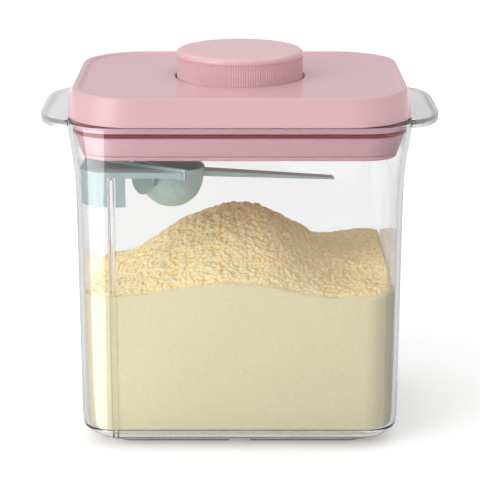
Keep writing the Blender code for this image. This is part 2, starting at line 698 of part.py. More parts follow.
def make_tab():
    """Half-round clip tab: an outline across the clip's direction, with thickness along it."""
    half = TAB_WIDTH / 2
    straight = 7.0
    outline = arc((0.0, -straight), half, 180.0, 360.0, 10)
    outline += [(half, TAB_TOP), (-half, TAB_TOP)]
    bm = bmesh.new()
    near = TAB_DISTANCE - TAB_THICK / 2
    face = bm.faces.new([bm.verts.new((near, across, z)) for across, z in outline])
    pushed = bmesh.ops.extrude_face_region(bm, geom=[face])
    moved = [item for item in pushed["geom"] if isinstance(item, bmesh.types.BMVert)]
    bmesh.ops.translate(bm, vec=(TAB_THICK, 0.0, 0.0), verts=moved)
    turn = Matrix.Rotation(math.atan2(TAB_DIRECTION.y, TAB_DIRECTION.x), 3, "Z")
    bmesh.ops.rotate(bm, matrix=turn, verts=bm.verts)
    return from_bmesh("tab", bm)


def make_scoop():
    """Measuring scoop: round-bottomed bowl, long handle, and a clip tab on a bridge."""
    steps = 8
    scoop = turned("scoop", bowl_profile(BOWL_RADIUS, BOWL_STRAIGHT, 0.0, steps), MINT_PLASTIC)
    turn = Matrix.Rotation(math.atan2(TAB_DIRECTION.y, TAB_DIRECTION.x), 4, "Z")
    bridge = box("bridge", (BOWL_RADIUS - 2.0, -TAB_WIDTH / 2 + 0.6, 0.9),
                 (TAB_DISTANCE + TAB_THICK / 2 - 0.3, TAB_WIDTH / 2 - 0.6, 2.1), turn=turn)
    lug = box("bridge_root", (BOWL_RADIUS - 2.4, -3.6, -2.0), (BOWL_RADIUS - 0.4, 3.6, 1.6),
              turn=turn)
    tools = [make_handle(), make_tab(), bridge, lug]
    hollow = turned("bowl_hollow", bowl_profile(BOWL_RADIUS - BOWL_WALL, BOWL_STRAIGHT, 5.0,
                                                steps))
    pose = (0.0, SCOOP_TILT, 0.0)
    for obj in (scoop, *tools, hollow):
        place(obj, SCOOP_CENTRE, pose)
    join(scoop, *tools)
    cut(scoop, hollow)
    return scoop


# ---- assembly -------------------------------------------------------------------------------
make_body()
make_powder()

lid = pivot("lid_group", (0.0, 0.0, LID_EDGE_Z))
bottom_cover = make_bottom_cover()
latch_arm, latch_pin = make_latch()
for piece in (make_lid_cover(), make_lid_base(), bottom_cover, make_seal(), latch_pin,
              make_spring()):
    hang(piece, lid)
for number, centre in enumerate(LID_SCREWS, 1):
    hang(screw(f"lid_screw_{number}", centre, DECK_Z[0] - GAP - 2.0, 2.0, 173.0), lid)

button = pivot("button_group", (0.0, 0.0, FLANGE_Z[1]))
hang(make_button_cap(), button)
hang(make_plunger(), button)
for number, centre in enumerate(PLUNGER_SCREWS, 1):
    hang(screw(f"plunger_screw_{number}", centre, 171.8, 2.1, 187.0), button)
hang(button, lid)

back_tip = SLIDE_TIP - DEPTH_LESS
for name, turn, tip, half_bar in (
    ("seal_slide_right", 0.0, SLIDE_TIP, 26.0),
    ("seal_slide_back", math.pi / 2, back_tip, 42.0),
    ("seal_slide_left", math.pi, SLIDE_TIP, 26.0),
    ("seal_slide_front", -math.pi / 2, back_tip, 42.0),
):
    hang(make_slide(name, turn, tip, half_bar), lid)

latch = pivot("latch_group", LATCH_PIVOT)
hang(latch_arm, latch)
hang(latch, lid)

make_leveller()
make_scoop()
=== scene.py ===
# %% [markdown]
# # A push-button box for milk powder, dressed in its finishes
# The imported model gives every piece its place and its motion. This lesson adds what the eye sees:
# smooth moulded surfaces worked out with numpy, a clear body that bends light, a heap of powder,
# and a procedural material for every piece. All lengths in the helpers are millimetres, because
# moulded parts are drawn in millimetres; the meshes themselves are in metres.

# %% Load the frame
import math

import bpy
import numpy as np
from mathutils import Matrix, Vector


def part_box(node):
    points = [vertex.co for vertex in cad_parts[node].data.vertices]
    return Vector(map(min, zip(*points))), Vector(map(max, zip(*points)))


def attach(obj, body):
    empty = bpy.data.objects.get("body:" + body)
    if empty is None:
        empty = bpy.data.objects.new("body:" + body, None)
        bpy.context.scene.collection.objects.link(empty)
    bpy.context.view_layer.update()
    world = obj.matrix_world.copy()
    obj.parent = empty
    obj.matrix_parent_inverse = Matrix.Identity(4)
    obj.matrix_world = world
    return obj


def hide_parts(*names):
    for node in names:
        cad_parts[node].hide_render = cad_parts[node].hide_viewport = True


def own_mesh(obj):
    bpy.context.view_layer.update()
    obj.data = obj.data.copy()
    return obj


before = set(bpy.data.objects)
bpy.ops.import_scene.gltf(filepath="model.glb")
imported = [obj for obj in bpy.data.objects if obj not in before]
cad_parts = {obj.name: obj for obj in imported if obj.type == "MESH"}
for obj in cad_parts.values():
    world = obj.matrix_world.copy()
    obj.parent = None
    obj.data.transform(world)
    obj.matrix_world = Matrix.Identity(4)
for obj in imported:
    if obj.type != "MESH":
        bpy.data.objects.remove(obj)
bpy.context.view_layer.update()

MM = 0.001

# %% [markdown]
# ## Camera
# A long lens from a little above, aimed straight ahead and tilted down, keeps upright edges nearly
# parallel, the way products are usually shown.

# %% Camera
CAMERA_BACK = 0.8976
CAMERA_HEIGHT = 0.3516
CAMERA_SIDE = 0.0001
CAMERA_DOWN = math.radians(16.1)
CAMERA_LENS = 133.66

camera_data = bpy.data.cameras.new("camera")
camera_data.lens = CAMERA_LENS
camera_data.sensor_width = 36.0
camera = bpy.data.objects.new("camera", camera_data)
camera.location = (CAMERA_SIDE, -CAMERA_BACK, CAMERA_HEIGHT)
camera.rotation_euler = (math.pi / 2 - CAMERA_DOWN, 0.0, 0.0)
bpy.context.scene.collection.objects.link(camera)
bpy.context.scene.camera = camera
print("camera", tuple(camera.location))

# %% [markdown]
# ## Studio
# Clear plastic shows its shape by what it bends and mirrors, so the room matters as much as the
# lamps. A pale floor and a bright, even room keep it clean. Three cards are there only to be
# mirrored: a grey one on the table in front keeps the walls from mirroring too much white, a
# bright one at the front left shows in the rounded corner as a pale upright band, and a tall one
# on the left brightens the left faces. The soft lamp stands on that side too. The cards are hidden
# from the camera and from light that goes through the plastic, where they would show as hard
# shapes.

# %% Studio
ROOM_LIGHT = 0.60
FLOOR_HALF = 4.0
FLOOR_LEVEL = -0.0002
FLOOR_ALBEDO = 0.95
FLOOR_GLOW = 0.14
SCREEN_REACH = 1.1
SCREEN_HEIGHT = 1.5
BOUNCE_TIP = (-0.070, -0.066)
BOUNCE_REACH = 0.9
BOUNCE_LEVEL = 0.0003
FLAG_LEFT, FLAG_RIGHT = -0.5, 0.6
FLAG_FRONT, FLAG_BACK = -0.88, -0.09
FLAG_LEVEL = 0.0001

bpy.context.scene.view_settings.view_transform = "Standard"
world = bpy.data.worlds.new("room")
bpy.context.scene.world = world
world.use_nodes = True
room = world.node_tree
room_sky = room.nodes["Background"]
room_sky.inputs["Color"].default_value = (1.0, 1.0, 1.0, 1.0)
ray_kind = room.nodes.new("ShaderNodeLightPath")
room_level = room.nodes.new("ShaderNodeMapRange")
room_level.inputs["To Min"].default_value = ROOM_LIGHT
room_level.inputs["To Max"].default_value = 1.0
room.links.new(ray_kind.outputs["Is Camera Ray"], room_level.inputs["Value"])
room.links.new(room_level.outputs["Result"], room_sky.inputs["Strength"])


def plain_material(name, colour, roughness):
    """A plain Principled material for things that aren't part of the object."""
    made = bpy.data.materials.new(name)
    made.use_nodes = True
    shader = made.node_tree.nodes["Principled BSDF"]
    shader.inputs["Base Color"].default_value = (*colour, 1.0)
    shader.inputs["Roughness"].default_value = roughness
    shader.inputs["Specular IOR Level"].default_value = 0.0
    return made


def glow(material, level):
    """Give a plain material a white glow."""
    shader = material.node_tree.nodes["Principled BSDF"]
    shader.inputs["Emission Color"].default_value = (1.0, 1.0, 1.0, 1.0)
    shader.inputs["Emission Strength"].default_value = level


def card(name, corners, material):
    """A flat four-cornered stage card."""
    mesh = bpy.data.meshes.new(name)
    mesh.from_pydata(corners, [], [(0, 1, 2, 3)])
    mesh.materials.append(material)
    made = bpy.data.objects.new(name, mesh)
    bpy.context.scene.collection.objects.link(made)
    return made


def mirrored_card(name, corners, level):
    """A card with a grey or white glow that is seen only in reflections."""
    material = plain_material(name + "_glow", (0.0, 0.0, 0.0), 1.0)
    glow(material, level)
    made = card(name, corners, material)
    made.visible_camera = False
    made.visible_diffuse = False
    made.visible_shadow = False
    made.visible_transmission = False
    return made


def flat_corners(left, right, front, back, level):
    """The corners of a level rectangle."""
    return [(left, front, level), (right, front, level), (right, back, level), (left, back, level)]


def around(degrees, reach):
    """The plan point at an angle from the front towards the left, seen from the box."""
    return (-reach * math.sin(math.radians(degrees)), -reach * math.cos(math.radians(degrees)))


floor_paint = plain_material("pale_floor", (FLOOR_ALBEDO,) * 3, 0.9)
glow(floor_paint, FLOOR_GLOW)
floor = card("floor", flat_corners(-FLOOR_HALF, FLOOR_HALF, -FLOOR_HALF, FLOOR_HALF, FLOOR_LEVEL),
             floor_paint)

screen_start, screen_end = around(25.0, SCREEN_REACH), around(78.0, SCREEN_REACH)
screen_corners = [(*screen_start, 0.0), (*screen_end, 0.0),
                  (*screen_end, SCREEN_HEIGHT), (*screen_start, SCREEN_HEIGHT)]
bounce_corners = [(*BOUNCE_TIP, BOUNCE_LEVEL)] + [
    (BOUNCE_TIP[0] + x, BOUNCE_TIP[1] + y, BOUNCE_LEVEL)
    for x, y in (around(degrees, BOUNCE_REACH) for degrees in (80.0, 50.0, 23.0))]
flag_corners = flat_corners(FLAG_LEFT, FLAG_RIGHT, FLAG_FRONT, FLAG_BACK, FLAG_LEVEL)
cards = [mirrored_card("left_screen", screen_corners, 1.3),
         mirrored_card("bounce_card", bounce_corners, 6.5),
         mirrored_card("front_flag", flag_corners, 0.38)]


def soft_lamp(name, place, aim, size, power):
    """A square area lamp that points at a spot."""
    data = bpy.data.lights.new(name, "AREA")
    data.shape = "SQUARE"
    data.size = size
    data.energy = power
    lamp = bpy.data.objects.new(name, data)
    lamp.location = place
    away = np.array(place) - np.array(aim)
    lamp.rotation_euler = (math.atan2(math.hypot(away[0], away[1]), away[2]), 0.0,
                           math.atan2(away[0], -away[1]))
    bpy.context.scene.collection.objects.link(lamp)
    return lamp


soft_lamp("key_lamp", (-1.5, -1.2, 0.9), (0.0, 0.0, 0.1), 1.2, 17.0)
top_data = bpy.data.lights.new("top_light", "SUN")
top_data.energy = 1.15
top_data.angle = math.radians(100.0)
top_light = bpy.data.objects.new("top_light", top_data)
bpy.context.scene.collection.objects.link(top_light)
print("two lights and", 1 + len(cards), "stage cards")

# %% [markdown]
# ## Surfaces from arrays
# Nearly every moulded piece here is a stack of rings: a rounded rectangle or a circle whose size
# changes with height. One function draws all the rings at once as an array of points, another
# skins neighbouring rings with quads. Extra points near the ends of each straight side keep the
# flat walls flat when they are shaded smoothly.

# %% Ring and skin helpers
CORNER_STEPS = 16
SIDE_SHARES = np.array([0.03, 0.1, 0.2, 0.35, 0.5, 0.65, 0.8, 0.9, 0.97])
RING_COUNT = 4 * (CORNER_STEPS + 1 + len(SIDE_SHARES))


def at_levels(plan, z):
    """Plan outlines (ring, point, xy) lifted to one height each, as (ring, point, xyz)."""
    level = np.broadcast_to(np.asarray(z)[:, None, None], plan.shape[:2] + (1,))
    return np.concatenate([plan, level], axis=-1)


def rounded_rings(half_x, half_y, radius, z):
    """Rounded rectangles, one for each entry of the arrays, as (ring, point, xyz).

    A corner point is the corner's centre plus radius times (cos a, sin a), with a running through
    a quarter turn. A side point lies at a share of the way to the next corner's first point.
    """
    half_x, half_y, radius, z = np.broadcast_arrays(*(np.atleast_1d(np.asarray(v, float))
                                                      for v in (half_x, half_y, radius, z)))
    turn = np.linspace(0.0, np.pi / 2, CORNER_STEPS + 1)
    reach = radius[:, None]
    corners = []
    for number, (sign_x, sign_y) in enumerate(((1, 1), (-1, 1), (-1, -1), (1, -1))):
        angle = turn + number * np.pi / 2
        corners.append(np.stack([sign_x * (half_x - radius)[:, None] + reach * np.cos(angle),
                                 sign_y * (half_y - radius)[:, None] + reach * np.sin(angle)],
                                axis=-1))
    stretches = []
    for number, corner in enumerate(corners):
        start, end = corner[:, -1:], corners[(number + 1) % 4][:, :1]
        side = start + (end - start) * SIDE_SHARES[None, :, None]
        stretches += [corner, side]
    return at_levels(np.concatenate(stretches, axis=1), z)


def circle_rings(radius, z):
    """Circles with as many points as the rounded rectangles: radius times (cos a, sin a)."""
    radius, z = np.broadcast_arrays(np.atleast_1d(np.asarray(radius, float)),
                                    np.atleast_1d(np.asarray(z, float)))
    angle = np.pi / 4 + 2 * np.pi * (np.arange(RING_COUNT) - CORNER_STEPS / 2) / RING_COUNT
    circle = np.stack([np.cos(angle), np.sin(angle)], axis=-1)[None] * radius[:, None, None]
    return at_levels(circle, z)


def flowing(rows, steps):
    """Rows joined by Catmull-Rom curves.

    Between p1 and p2, with neighbours p0 and p3, the point at share t is half of
    2 p1 + (p2 - p0) t + (2 p0 - 5 p1 + 4 p2 - p3) t^2 + (3 p1 - p0 - 3 p2 + p3) t^3.
    """
    rows = np.asarray(rows, float)
    padded = np.vstack([2 * rows[0] - rows[1], rows, 2 * rows[-1] - rows[-2]])
    t = np.linspace(0.0, 1.0, steps, endpoint=False)[None, :, None]
    p0, p1, p2, p3 = (padded[i:len(rows) - 1 + i, None] for i in range(4))
    bent = 0.5 * (2 * p1 + (p2 - p0) * t + (2 * p0 - 5 * p1 + 4 * p2 - p3) * t ** 2
                  + (3 * p1 - p0 - 3 * p2 + p3) * t ** 3)
    return np.vstack([bent.reshape(-1, rows.shape[1]), rows[-1:]])


def skin(grid, loop=False):
    """(points, quads, triangles) over a grid of rings (ring, point, xyz).

    Each quad joins point j and j + 1 of ring i to those of ring i + 1. The first and last ring are
    closed with a fan round their mean point; a loop joins the last ring to the first instead.
    """
    rings, count = grid.shape[:2]
    index = np.arange(rings * count).reshape(rings, count)
    if loop:
        index = np.vstack([index, index[:1]])
    ahead = np.roll(index, -1, axis=1)
    quads = np.stack([index[:-1], ahead[:-1], ahead[1:], index[1:]], axis=-1).reshape(-1, 4)
    points = grid.reshape(-1, 3)
    triangles = np.zeros((0, 3), int)
    if not loop:
        middles = np.stack([grid[0].mean(axis=0), grid[-1].mean(axis=0)])
        first, last = len(points), len(points) + 1
        points = np.vstack([points, middles])
        triangles = np.vstack([
            np.stack([ahead[0], index[0], np.full(count, first)], axis=-1),
            np.stack([index[-1], ahead[-1], np.full(count, last)], axis=-1)])
    return points, quads, triangles


def turned_out(points, quads, triangles):
    """The same skin with its faces outwards: the sum of signed tetrahedra must be positive."""
    corners = points[np.vstack([quads[:, [0, 1, 2]], quads[:, [0, 2, 3]], triangles])]
    volume = np.einsum("ij,ij->i", corners[:, 0], np.cross(corners[:, 1], corners[:, 2])).sum()
    if volume < 0.0:
        quads, triangles = quads[:, ::-1], triangles[:, ::-1]
    return points, quads, triangles


def make_mesh(name, skins):
    """One smooth mesh, in metres, from several closed skins in millimetres."""
    points, faces, start = [], [], 0
    for made in skins:
        xyz, quads, triangles = turned_out(*made)
        points.append(xyz * MM)
        faces += (quads + start).tolist() + (triangles + start).tolist()
        start += len(xyz)
    mesh = bpy.data.meshes.new(name)
    mesh.from_pydata(np.vstack(points).tolist(), [], faces)
    mesh.shade_smooth()
    return mesh


def make_piece(name, mesh, material, body, nodes, sharp=40.0):
    """Link a finished mesh as a piece that rides on a body and stands for its CAD nodes."""
    mesh.materials.clear()
    mesh.materials.append(material)
    mesh.set_sharp_from_angle(angle=math.radians(sharp))
    piece = bpy.data.objects.new(name, mesh)
    bpy.context.scene.collection.objects.link(piece)
    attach(piece, body)
    if nodes:
        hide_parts(*nodes)
    print(name, len(mesh.vertices), "points,", len(mesh.polygons), "faces")
    return piece


def combined(base, tool, operation):
    """The mesh of base after an exact boolean with tool; both are meshes."""
    holder = bpy.data.objects.new("holder", base)
    cutter = bpy.data.objects.new("cutter", tool)
    for item in (holder, cutter):
        bpy.context.scene.collection.objects.link(item)
    step = holder.modifiers.new("combine", "BOOLEAN")
    step.operation = operation
    step.solver = "EXACT"
    step.object = cutter
    bpy.context.view_layer.update()
    solved = holder.evaluated_get(bpy.context.evaluated_depsgraph_get())
    result = bpy.data.meshes.new_from_object(solved)
    for item in (holder, cutter):
        bpy.data.objects.remove(item)
    result.shade_smooth()
    return result


def block(low, high):
    """A skin over a box between two corners."""
    x, y, z = zip(low, high)
    ring = np.array([(x[0], y[0]), (x[1], y[0]), (x[1], y[1]), (x[0], y[1])], float)
    grid = np.stack([np.column_stack([ring, np.full(4, level)]) for level in z])
    return skin(grid)


print("every ring has", RING_COUNT, "points")

# %% [markdown]
# ## Shared effects
# Moulded plastic is never one flat colour: flow in the mould leaves very faint lighter and darker
# areas, and the mould's own polish leaves a fine grain that breaks up reflections. Both are drawn
# once, in a node group, and each plastic sets its own strength. A second group makes the drawn
# lines of wire and screws.

# %% Node group tools
def new_group(name, inputs, outputs):
    """A shader node group with named float or colour sockets: (name, kind, default)."""
    tree = bpy.data.node_groups.new(name, "ShaderNodeTree")
    for label, kind, value in inputs:
        socket = tree.interface.new_socket(name=label, in_out="INPUT", socket_type=kind)
        socket.default_value = value
    for label, kind in outputs:
        tree.interface.new_socket(name=label, in_out="OUTPUT", socket_type=kind)
    return tree, tree.nodes.new("NodeGroupInput"), tree.nodes.new("NodeGroupOutput")


def maths(tree, operation, first, second=None, third=None):
    """A Math node; each value is a number or a socket."""
    made = tree.nodes.new("ShaderNodeMath")
    made.operation = operation
    for slot, value in enumerate((first, second, third)):
        if isinstance(value, bpy.types.NodeSocket):
            tree.links.new(value, made.inputs[slot])
        elif value is not None:
            made.inputs[slot].default_value = value
    return made.outputs["Value"]


def noise(tree, coordinates, scale, detail=2.0):
    """A Noise texture's height, from 0 to 1."""
    made = tree.nodes.new("ShaderNodeTexNoise")
    made.inputs["Detail"].default_value = detail
    tree.links.new(coordinates, made.inputs["Vector"])
    if isinstance(scale, bpy.types.NodeSocket):
        tree.links.new(scale, made.inputs["Scale"])
    else:
        made.inputs["Scale"].default_value = scale
    return made.outputs["Fac"]


def tinted(tree, colour, share):
    """A colour socket with its brightness multiplied by a share socket."""
    made = tree.nodes.new("ShaderNodeVectorMath")
    made.operation = "SCALE"
    tree.links.new(colour, made.inputs["Vector"])
    tree.links.new(share, made.inputs["Scale"])
    return made.outputs["Vector"]


def blended(tree, share, first, second):
    """A colour that goes from the first to the second socket as share goes from 0 to 1."""
    made = tree.nodes.new("ShaderNodeMix")
    made.data_type = "RGBA"
    tree.links.new(share, made.inputs["Factor"])
    tree.links.new(first, made.inputs["A"])
    tree.links.new(second, made.inputs["B"])
    return made.outputs["Result"]


FLOAT, COLOUR = "NodeSocketFloat", "NodeSocketColor"
print("node tools ready")

# %% Moulded grain group
MOULDED, entry, leave = new_group(
    "moulded_grain",
    [("Colour", COLOUR, (0.8, 0.8, 0.8, 1.0)), ("Flow", FLOAT, 0.04), ("Roughness", FLOAT, 0.35),
     ("Polish Spread", FLOAT, 0.06), ("Grain Scale", FLOAT, 1800.0)],
    [("Colour", COLOUR), ("Roughness", FLOAT), ("Height", FLOAT)])
where = MOULDED.nodes.new("ShaderNodeTexCoord").outputs["Object"]
flow = noise(MOULDED, where, 22.0, 3.0)
brightness = maths(MOULDED, "MULTIPLY_ADD", maths(MOULDED, "SUBTRACT", flow, 0.5),
                   entry.outputs["Flow"], 1.0)
MOULDED.links.new(tinted(MOULDED, entry.outputs["Colour"], brightness), leave.inputs["Colour"])
patches = maths(MOULDED, "SUBTRACT", noise(MOULDED, where, 60.0, 2.0), 0.5)
MOULDED.links.new(maths(MOULDED, "MULTIPLY_ADD", patches, entry.outputs["Polish Spread"],
                        entry.outputs["Roughness"]), leave.inputs["Roughness"])
MOULDED.links.new(noise(MOULDED, where, entry.outputs["Grain Scale"], 2.0), leave.inputs["Height"])
print(MOULDED.name, "group ready")

# %% Drawn metal group
DRAWN, entry, leave = new_group(
    "drawn_lines", [("Colour", COLOUR, (0.6, 0.6, 0.6, 1.0)), ("Line Scale", FLOAT, 4000.0)],
    [("Colour", COLOUR), ("Roughness", FLOAT), ("Height", FLOAT)])
stretch = DRAWN.nodes.new("ShaderNodeMapping")
stretch.inputs["Scale"].default_value = (1.0, 1.0, 0.08)
DRAWN.links.new(DRAWN.nodes.new("ShaderNodeTexCoord").outputs["Object"], stretch.inputs["Vector"])
lines = noise(DRAWN, stretch.outputs["Vector"], entry.outputs["Line Scale"], 3.0)
line_shade = maths(DRAWN, "MULTIPLY_ADD", lines, 0.3, 0.85)
DRAWN.links.new(tinted(DRAWN, entry.outputs["Colour"], line_shade), leave.inputs["Colour"])
DRAWN.links.new(maths(DRAWN, "MULTIPLY_ADD", lines, 0.25, 0.2), leave.inputs["Roughness"])
DRAWN.links.new(lines, leave.inputs["Height"])
print(DRAWN.name, "group ready")


# %% Material makers
def material_from(name, group, values, relief, specular=0.5, metallic=0.0):
    """A Principled material fed by a node group; relief is the bump's height in metres."""
    made = bpy.data.materials.new(name)
    made.use_nodes = True
    tree = made.node_tree
    shader = tree.nodes["Principled BSDF"]
    shader.inputs["Specular IOR Level"].default_value = specular
    shader.inputs["Metallic"].default_value = metallic
    effect = tree.nodes.new("ShaderNodeGroup")
    effect.node_tree = group
    for label, value in values.items():
        effect.inputs[label].default_value = value
    tree.links.new(effect.outputs["Colour"], shader.inputs["Base Color"])
    tree.links.new(effect.outputs["Roughness"], shader.inputs["Roughness"])
    if relief:
        bump = tree.nodes.new("ShaderNodeBump")
        bump.inputs["Distance"].default_value = relief
        bump.inputs["Strength"].default_value = 0.6
        tree.links.new(effect.outputs["Height"], bump.inputs["Height"])
        tree.links.new(bump.outputs["Normal"], shader.inputs["Normal"])
    return made


def moulded(name, colour, roughness, flow, relief=0.00001, scale=1800.0, specular=0.5):
    """A moulded plastic or silicone."""
    return material_from(name, MOULDED, {"Colour": (*colour, 1.0), "Roughness": roughness,
                                         "Flow": flow, "Grain Scale": scale}, relief, specular)


PINK_PLASTIC = moulded("pink_satin_plastic", (0.635, 0.388, 0.43), 0.24, 0.05)
PLUG_PLASTIC = moulded("plug_satin_plastic", (0.59, 0.325, 0.37), 0.42, 0.05)
# The knob's pink is painted lighter than the lid's, as painted light on its shaded fluted side.
KNOB_PAINTED_LIGHTER = moulded("knob_satin_plastic_painted_light", (0.71, 0.445, 0.485), 0.27, 0.05)
RED_SILICONE = moulded("red_silicone", (0.25, 0.005, 0.012), 0.5, 0.1, relief=0.0, specular=0.0)
# One mint plastic in two copies: the leveller's is painted darker, as painted shade, and the
# scoop's lighter, as painted light against the shade under the lid.
LEVELLER_MINT_PAINTED_SHADE = moulded("leveller_mint_painted_shade", (0.31, 0.41, 0.41), 0.42, 0.06)
SCOOP_MINT_PAINTED_LIGHT = moulded("scoop_mint_painted_light", (0.42, 0.56, 0.53), 0.42, 0.06)
WHITE_PLASTIC = moulded("white_inner_plastic", (0.82, 0.82, 0.80), 0.45, 0.05,
                        relief=0.00002, scale=900.0)
SPRING_STEEL = material_from("drawn_steel", DRAWN, {"Colour": (0.62, 0.62, 0.64, 1.0)},
                             relief=0.000006, metallic=1.0)
print("moulded and steel materials ready")

# %% [markdown]
# ## Clear plastic
# The body is a hard, polished, almost colourless plastic. It is a real solid with two faces to
# each wall, so the Principled shader's transmission bends light twice at every wall. Lamps are let
# through for shadow rays, because a path tracer hardly ever finds a lamp through two bent faces.
# A trace of haze comes and goes over the walls, as it does on a box that has been wiped, and the
# two grips are frosted, so that they don't slip; their colour is also lifted a little, as painted
# light. Where the plastic is thick it gathers light from darker parts of a room, and here that is
# painted shade in the colour: the two front corners get a little painted grey, and the flanks of
# the rib inside the front wall get painted grey and are rougher, so they draw two fine lines.
# Places are in metres.

# %% Clear plastic
HAZE = 0.02
# FROST roughens the grips; the second number lifts their colour, as painted light.
FROST, GRIP_PAINTED_LIGHT = 0.32, 0.35
FROST_FROM, FROST_FULL = 0.0845, 0.0865
FLANK_MIDDLE, FLANK_ASIDE, FLANK_HALF = -0.0624, 0.00115, 0.0005
FLANK_Y, FLANK_Y_HALF = -0.0600, 0.0018
FLANK_SHADE, FLANK_ROUGHNESS = 0.8, 0.45
CORNER_X, CORNER_X_HALF = 0.0785, 0.0065
CORNER_Y, CORNER_Y_HALF = -0.0515, 0.0085
CORNER_SHADE = 0.40

CLEAR = bpy.data.materials.new("clear_hard_plastic")
CLEAR.use_nodes = True
tree = CLEAR.node_tree
glass = tree.nodes["Principled BSDF"]
glass.inputs["IOR"].default_value = 1.49
glass.inputs["Transmission Weight"].default_value = 1.0
where = tree.nodes.new("ShaderNodeTexCoord").outputs["Object"]
haze = maths(tree, "MULTIPLY", noise(tree, where, 35.0, 4.0), HAZE)
apart = tree.nodes.new("ShaderNodeSeparateXYZ")
tree.links.new(where, apart.inputs["Vector"])
aside = maths(tree, "ABSOLUTE", apart.outputs["X"])

frost = tree.nodes.new("ShaderNodeMapRange")
frost.inputs["From Min"].default_value = FROST_FROM
frost.inputs["From Max"].default_value = FROST_FULL
frost.inputs["To Max"].default_value = FROST
tree.links.new(aside, frost.inputs["Value"])

# Painted shade: a grey tint on the rib's two flanks draws two fine dark lines; the flanks are
# rougher too.
from_rib = maths(tree, "ABSOLUTE", maths(tree, "ADD", apart.outputs["X"], -FLANK_MIDDLE))
rib_edge = maths(tree, "COMPARE", from_rib, FLANK_ASIDE, FLANK_HALF)
inner_side = maths(tree, "COMPARE", apart.outputs["Y"], FLANK_Y, FLANK_Y_HALF)
rib_flank = maths(tree, "MULTIPLY", rib_edge, inner_side)
roughness = maths(tree, "MULTIPLY_ADD", rib_flank, FLANK_ROUGHNESS, haze)
tree.links.new(maths(tree, "ADD", roughness, frost.outputs["Result"]), glass.inputs["Roughness"])

# Painted shade: a grey tint on the two front corners, where thick clear plastic shows darker edges.
off_corner = maths(tree, "MULTIPLY", maths(tree, "ADD", apart.outputs["Y"], -CORNER_Y),
                   1.0 / CORNER_Y_HALF)
corner = maths(tree, "SUBTRACT", 1.0, maths(tree, "MULTIPLY", off_corner, off_corner))
corner = maths(tree, "MULTIPLY", maths(tree, "MAXIMUM", corner, 0.0),
               maths(tree, "COMPARE", aside, CORNER_X, CORNER_X_HALF))
darker = maths(tree, "MULTIPLY_ADD", corner, CORNER_SHADE,
               maths(tree, "MULTIPLY", rib_flank, FLANK_SHADE))
# The base colour's share: painted shade from the corners and the rib's flanks, and painted light
# that lifts the frosted grips.
shade = maths(tree, "MULTIPLY_ADD", frost.outputs["Result"], GRIP_PAINTED_LIGHT,
              maths(tree, "SUBTRACT", 1.0, darker))
water_white = tree.nodes.new("ShaderNodeRGB")
water_white.outputs["Color"].default_value = (0.897, 0.900, 0.904, 1.0)
tree.links.new(tinted(tree, water_white.outputs["Color"], shade), glass.inputs["Base Color"])
rays = tree.nodes.new("ShaderNodeLightPath")
tree.links.new(maths(tree, "SUBTRACT", 1.0, rays.outputs["Is Shadow Ray"]), glass.inputs["Alpha"])
print("clear plastic ready")

# %% [markdown]
# ## Body
# The real body is one moulding: walls that widen slightly up to the rim, rounded corners, a hollow
# foot ring, a grip on each side and a rib inside the front wall for the leveller to drop over. The
# wall is one stack of rings up the outside and down the inside; the grips and the rib are joined
# to it with an exact boolean, so the light meets no false faces where they meet the wall. Each row
# gives a ring's half width, its height and its corner radius.

# %% Body rings
DEPTH_LESS = 17.0
OUTSIDE_ROWS = [(67.1, 2.6, 13.4), (71.6, 3.2, 15.4), (75.8, 5.1, 16.6), (78.6, 8.4, 16.8),
                (79.9, 13.2, 16.6), (80.15, 40.0, 16.6), (80.35, 85.0, 17.0), (80.6, 128.0, 17.5),
                (80.9, 136.0, 18.0), (81.3, 142.0, 18.8), (82.0, 148.0, 19.8), (82.8, 153.0, 20.8),
                (83.5, 158.0, 21.8), (84.0, 162.0, 22.6), (84.1, 166.4, 23.0)]
RIM_ROWS = [(83.9, 166.85, 22.8), (83.5, 167.0, 22.4), (82.6, 167.0, 21.6), (82.2, 166.85, 21.2)]
INSIDE_ROWS = [(82.0, 166.4, 21.0), (81.9, 162.0, 20.6), (81.4, 158.0, 19.8), (80.7, 153.0, 18.8),
               (79.9, 148.0, 17.8), (79.2, 142.0, 16.8), (78.8, 136.0, 16.0), (78.5, 128.0, 15.4),
               (78.2, 85.0, 14.9), (78.0, 40.0, 14.6), (77.7, 14.5, 14.5), (76.6, 9.8, 14.6),
               (74.4, 7.0, 14.4), (71.0, 5.4, 13.6), (67.0, 4.7, 12.4)]
FOOT_ROWS = [(63.6, 2.6, 9.9), (63.9, 0.3, 10.2), (64.2, 0.0, 10.5), (66.4, 0.0, 12.7),
             (66.7, 0.3, 13.0), (67.0, 2.2, 13.3)]

body_rows = np.vstack([FOOT_ROWS, flowing(OUTSIDE_ROWS, 6), RIM_ROWS, flowing(INSIDE_ROWS, 6),
                       [(60.0, 4.7, 12.0)]])
body_grid = rounded_rings(body_rows[:, 0], body_rows[:, 0] - DEPTH_LESS, body_rows[:, 2],
                          body_rows[:, 1])
body_mesh = make_mesh("body_walls", [skin(body_grid)])
print("body walls", len(body_mesh.vertices), "points")


# %% Grips and rib
GRIP_REACH, GRIP_HALF, GRIP_CORNER, GRIP_TOP = 100.0, 42.5, np.array([16.5, 27.0]), 166.1


